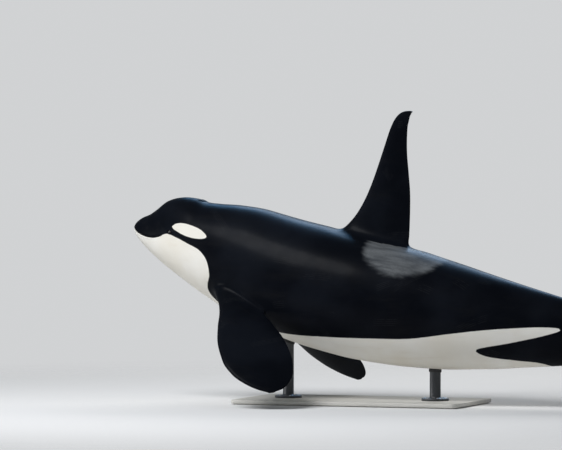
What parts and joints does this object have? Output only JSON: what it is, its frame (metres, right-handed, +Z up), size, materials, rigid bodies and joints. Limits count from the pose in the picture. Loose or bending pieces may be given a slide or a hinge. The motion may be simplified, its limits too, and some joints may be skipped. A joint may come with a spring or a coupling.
{
  "type": "orca",
  "caption": "Life-size still model of an adult male orca swimming with its head raised, held on a flat base by two short rods.",
  "frame": {"origin": "centre of the underside of the stand's base, on the floor", "axes": "+X towards the tail and -X towards the snout, the body's left side at -Y, +Z up"},
  "size_m": [7.1024, 2.9474, 3.2025],
  "materials": {
    "skin_black": "smooth wet sheen",
    "skin_white": "smooth wet sheen",
    "skin_grey": "smooth wet sheen",
    "eye": "glossy",
    "stand_base": "satin paint",
    "stand_rod": "satin paint"
  },
  "bodies": {
    "root": {"head": "skin_black", "lower_jaw": "skin_white", "throat": "skin_white", "eye_left": "eye", "eye_right": "eye", "eye_patch_left": "skin_white", "eye_patch_right": "skin_white", "torso": "skin_black", "belly": "skin_white", "saddle": "skin_grey", "dorsal_fin": "skin_black", "flipper_left": "skin_black", "flipper_right": "skin_black", "tail_stock": "skin_black", "fluke_left": "skin_black", "fluke_right": "skin_black", "stand_base": "stand_base", "stand_rod_front": "stand_rod", "stand_rod_rear": "stand_rod"}
  },
  "joints": []
}
